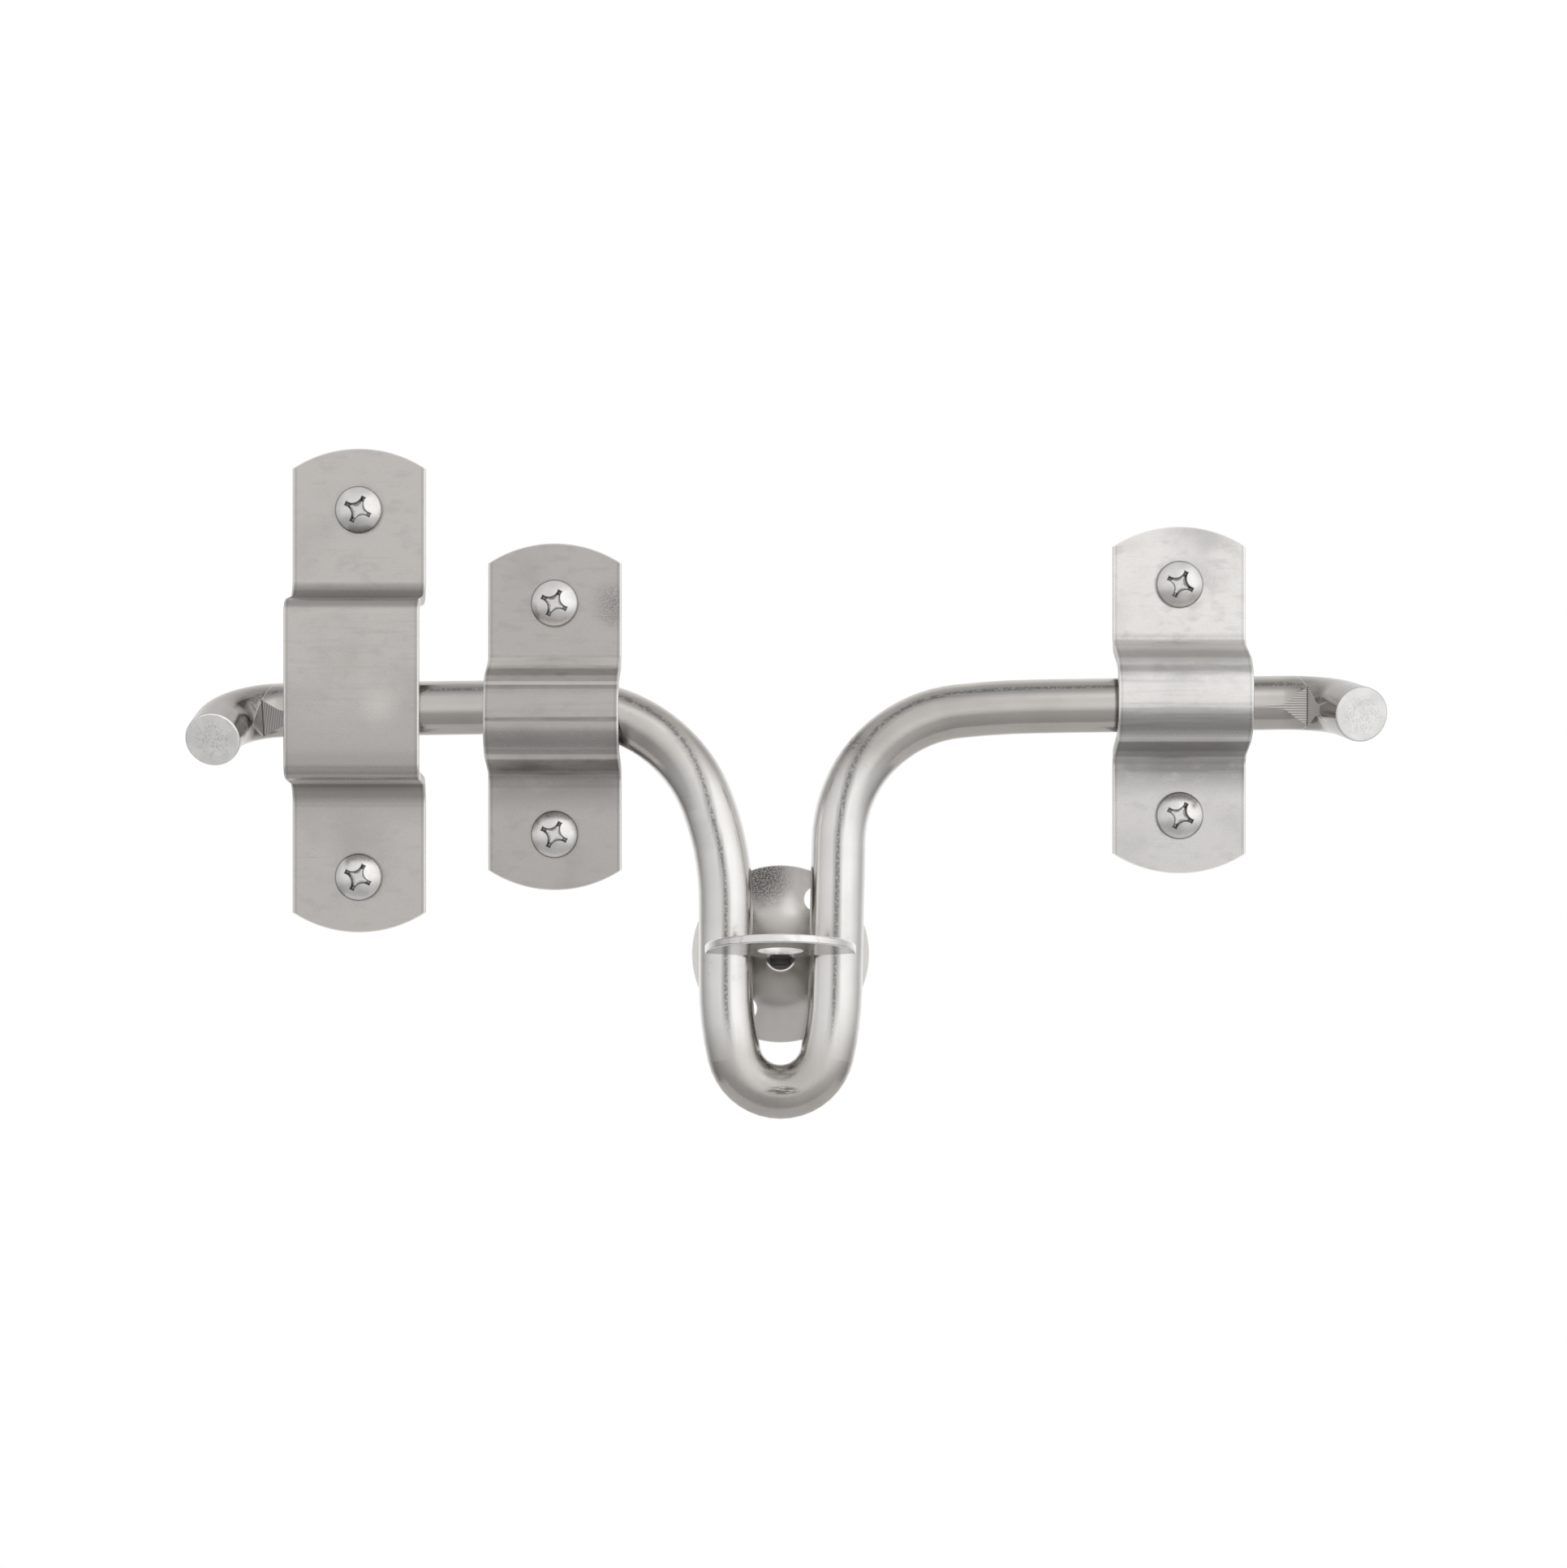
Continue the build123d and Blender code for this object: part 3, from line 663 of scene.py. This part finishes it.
# Swivel eye and its washer: polished half-moon plate on a shank that turns in the collar.
# The stamped edge is bright, the faces carry light scratches, and the shank is painted dark as shade where
# it turns in the collar.
shank_front_y = -0.0135
shank_back_y = -0.0118
eye_light = [0.86, 0.845, 0.825, 1.0]
eye_scratch = [0.72, 0.705, 0.685, 1.0]
shank_shade = [0.14, 0.135, 0.13, 1.0]
look, tree, place = new_look("eye_look")
scratches = noise(tree, place, 90.0, 4.0, (1.0, 18.0, 1.0), (0.0, 0.0, 0.4))
scratches = ramp(tree, scratches, 0.6, 0.72)
colour = blend(tree, scratches, eye_light, eye_scratch)
depth = axes(tree, place)[1]
face_y = axes(tree, surface_normal(tree))[1]
# Painted shade on the shank's forward-facing surfaces where it enters the collar
shaded_shank = ramp(tree, depth, shank_front_y, shank_back_y)
shaded_shank = times(tree, shaded_shank, ramp(tree, face_y, 0.3, -0.1))
colour = blend(tree, shaded_shank, colour, shank_shade)
grain = noise(tree, place, 2000.0, 3.0)
rough = ramp(tree, grain, 0.3, 0.7, 0.14, 0.22)
normal = bump(tree, grain, 0.00002, 0.25)
metal(tree, colour, rough, bump(tree, scratches, 0.00002, 0.2, normal))
dress("swivel_eye", look)
dress("eye_washer", look)


# Stage: a pale floor below the latch and a studio that is white behind it.
# Towards the viewer the room is grey with pale walls at the sides, lighter above than below.
floor_size = 0.8
floor_at = (0.0, 0.3, -0.3)
floor_pale = [0.8, 0.8, 0.8, 1.0]
floor_paler = [0.84, 0.84, 0.83, 1.0]
over_and_under = [0.92, 0.92, 0.92, 1.0]
white = [1.0, 1.0, 1.0, 1.0]
bpy.ops.mesh.primitive_plane_add(size=floor_size, location=floor_at)
floor = bpy.context.object
floor.name = "floor"
look, tree, place = new_look("floor_look")
dust = noise(tree, place, 6.0, 3.0)
colour = blend(tree, dust, floor_pale, floor_paler)
shader = put(tree, "ShaderNodeBsdfPrincipled", {}, {"Base Color": colour, "Roughness": 0.8})
put(tree, "ShaderNodeOutputMaterial", {}, {"Surface": shader.outputs[0]})
floor.data.materials.append(look)
# How light the room is round the viewer, by bearing in radians, and from below to above
round_the_room = (
    (-math.pi, 1.0),
    (-2.5, 0.42),
    (-2.0, 0.42),
    (-1.7, 0.54),
    (-1.4, 0.67),
    (-1.16, 0.77),
    (-0.93, 0.82),
    (-0.6, 0.86),
    (-0.25, 0.88),
    (0.0, 0.95),
    (0.15, 1.08),
    (0.35, 1.18),
    (0.9, 1.18),
    (1.2, 1.04),
    (1.5, 0.88),
    (1.9, 0.6),
    (2.5, 0.55),
    (math.pi, 1.0),
)
up_the_room = (
    (-1.0, 0.44),
    (-0.87, 0.46),
    (-0.6, 0.5),
    (-0.4, 0.52),
    (-0.26, 0.78),
    (-0.08, 0.94),
    (0.0, 1.0),
    (0.1, 1.0),
    (0.27, 0.96),
    (0.6, 0.96),
    (0.75, 0.92),
    (0.87, 0.8),
    (0.95, 0.74),
    (1.0, 0.74),
)


def levels(tree, value, stops):
    low = stops[0][0]
    high = stops[-1][0]
    inputs = {"Value": value, "From Min": low, "From Max": high}
    share = put(tree, "ShaderNodeMapRange", {}, inputs).outputs[0]
    curve = put(tree, "ShaderNodeValToRGB", {}, {"Fac": share})
    elements = curve.color_ramp.elements
    while len(elements) < len(stops):
        elements.new(0.5)
    for element, (at, level) in zip(elements, stops):
        element.position = (at - low) / (high - low)
        element.color = (level, level, level, 1.0)
    return curve.outputs[0]


world = bpy.data.worlds.new("studio")
bpy.context.scene.world = world
world.use_nodes = True
tree = world.node_tree
tree.nodes.clear()
direction = put(tree, "ShaderNodeTexCoord", {}, {}).outputs["Generated"]
right, back, up = axes(tree, direction)
bearing = math_node(tree, "ARCTAN2", right, times(tree, back, -1.0))
walls = levels(tree, bearing, round_the_room)
steep = ramp(tree, math_node(tree, "ABSOLUTE", up), 0.55, 0.95)
walls = blend(tree, steep, walls, over_and_under)
rise = levels(tree, up, up_the_room)
mix_settings = {"data_type": "RGBA", "blend_type": "MULTIPLY"}
room = put(tree, "ShaderNodeMix", mix_settings, {0: 1.0, 6: walls, 7: rise}).outputs[2]
studio = blend(tree, ramp(tree, back, 0.4, 0.95), room, white)
path = put(tree, "ShaderNodeLightPath", {}, {})
studio = blend(tree, path.outputs["Is Camera Ray"], studio, white)
sky = put(tree, "ShaderNodeBackground", {}, {"Color": studio, "Strength": 1.0})
put(tree, "ShaderNodeOutputWorld", {}, {"Surface": sky.outputs[0]})


# Light: one weak soft box high at the right of the viewer.
# The room itself gives the rest of the light.
box_level = 0.15
lamp = bpy.data.lights.new("soft_box", "AREA")
lamp.shape = "RECTANGLE"
lamp.size = 0.9
lamp.size_y = 0.6
lamp.energy = box_level * math.pi * lamp.size * lamp.size_y
box = bpy.data.objects.new("soft_box", lamp)
box.location = (0.55, -1.3, 1.25)
box.rotation_euler = (math.radians(46), 0.0, math.radians(22))
box.visible_camera = False
bpy.context.collection.objects.link(box)


# Camera: level with the legs of the loop, looking straight at the gate face.
# It stands a little under nine tenths of a metre from the gate.
viewer_x = 0.0007
viewer_z = 0.0402
viewer_distance = 0.864
camera_data = bpy.data.cameras.new("camera")
camera_data.lens = 83.68
camera_data.sensor_width = 36.0
camera = bpy.data.objects.new("camera", camera_data)
camera.location = (viewer_x, -viewer_distance, viewer_z)
camera.rotation_euler = (math.radians(90), 0.0, 0.0)
bpy.context.collection.objects.link(camera)
bpy.context.scene.camera = camera
bpy.context.scene.view_settings.view_transform = "Standard"
